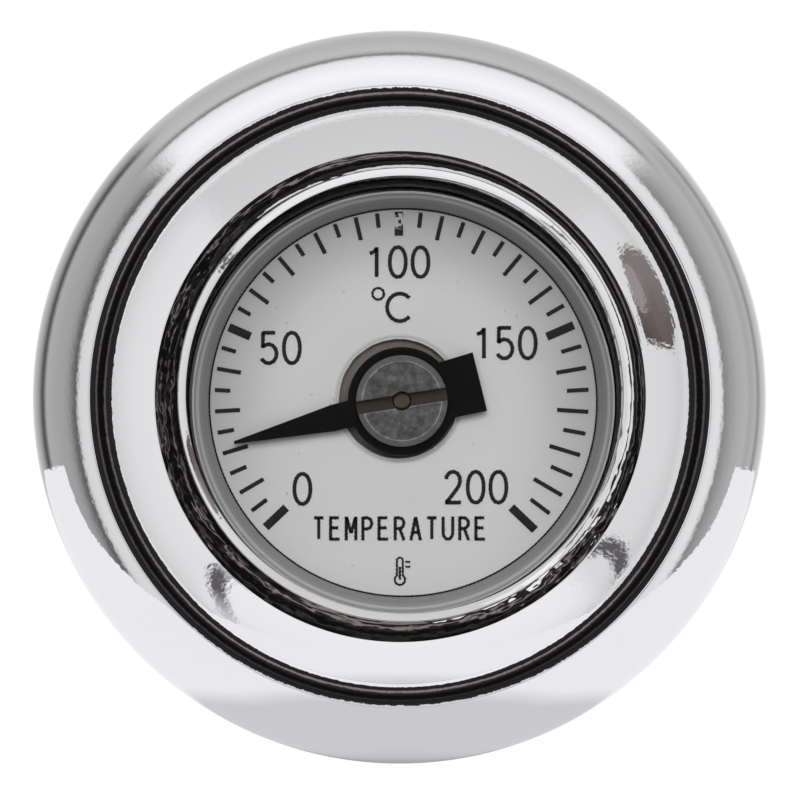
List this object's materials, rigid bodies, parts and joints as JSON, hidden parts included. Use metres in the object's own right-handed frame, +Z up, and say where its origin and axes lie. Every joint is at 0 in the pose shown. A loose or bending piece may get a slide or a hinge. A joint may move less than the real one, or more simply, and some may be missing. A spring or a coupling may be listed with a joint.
{
  "type": "dial thermometer",
  "caption": "Round bimetal dial thermometer set in a chromed screw-in cap, with a black pointer, a scale from 0 to 200 degrees Celsius, a threaded spigot and a slim stem behind.",
  "frame": {"origin": "on the spigot's axis, in the plane of the cap's back face, where it seats", "axes": "dial faces -Y, the spigot and stem point along +Y, +Z is up through the 100 degree mark"},
  "size_m": [0.06, 0.065, 0.06],
  "materials": {
    "cap_chrome": "polished chrome plate over a turned cap",
    "bezel_chrome": "polished",
    "spigot_plate": "satin nickel plate on a turned thread",
    "seal_rubber": "black rubber",
    "pin_steel": "ground steel",
    "case_steel": "drawn stainless steel",
    "fitting_brass": "turned brass",
    "washer_steel": "zinc plated steel",
    "stem_steel": "bright drawn stainless tube",
    "guide_plastic": "white bearing plastic",
    "bimetal": "rolled bimetal strip",
    "spacer_plastic": "black moulded plastic",
    "bush_brass": "dull turned brass",
    "dial_paint": "fine matt off-white paint",
    "mark_ink": "black screen print",
    "surround_metal": "fine turned grey aluminium",
    "lens_glass": "clear flat glass",
    "spindle_brass": "drawn brass wire",
    "pointer_paint": "matt black paint",
    "hub_metal": "dark blackened metal"
  },
  "bodies": {
    "housing": {"cap_body": "cap_chrome", "threaded_spigot": "spigot_plate", "seat_o_ring": "seal_rubber", "drive_pins": "pin_steel", "case_seal": "seal_rubber", "head_case": "case_steel", "stem_collar": "fitting_brass", "lock_washer": "washer_steel", "clamp_nut": "fitting_brass", "stem_tube": "stem_steel", "stem_tip": "stem_steel", "stem_guide": "guide_plastic", "coil_anchor": "fitting_brass", "bimetal_coil": "bimetal", "dial_spacer": "spacer_plastic", "upper_bush": "bush_brass", "dial_plate": "dial_paint", "scale_marks": "mark_ink", "dial_surround": "surround_metal", "lens_gasket": "seal_rubber", "lens": "lens_glass", "bezel_ring": "bezel_chrome"},
    "spindle": {"spindle": "spindle_brass", "coil_collar": "bimetal"},
    "pointer": {"pointer": "pointer_paint", "pointer_hub": "hub_metal"}
  },
  "joints": [
    {"name": "pointer_turn", "type": "hinge", "parent": "housing", "child": "spindle", "pos_m": [0.00015, 0, -0.00034], "axis": [0, 1, 0], "range_deg": [-31.05, 238.95], "stiffness_Nm_per_rad": 0.0004, "deforming": ["bimetal_coil"]},
    {"name": "zero_set", "type": "hinge", "parent": "spindle", "child": "pointer", "pos_m": [0.00015, 0, -0.00034], "axis": [0, 1, 0], "range_deg": [-20, 20]}
  ]
}
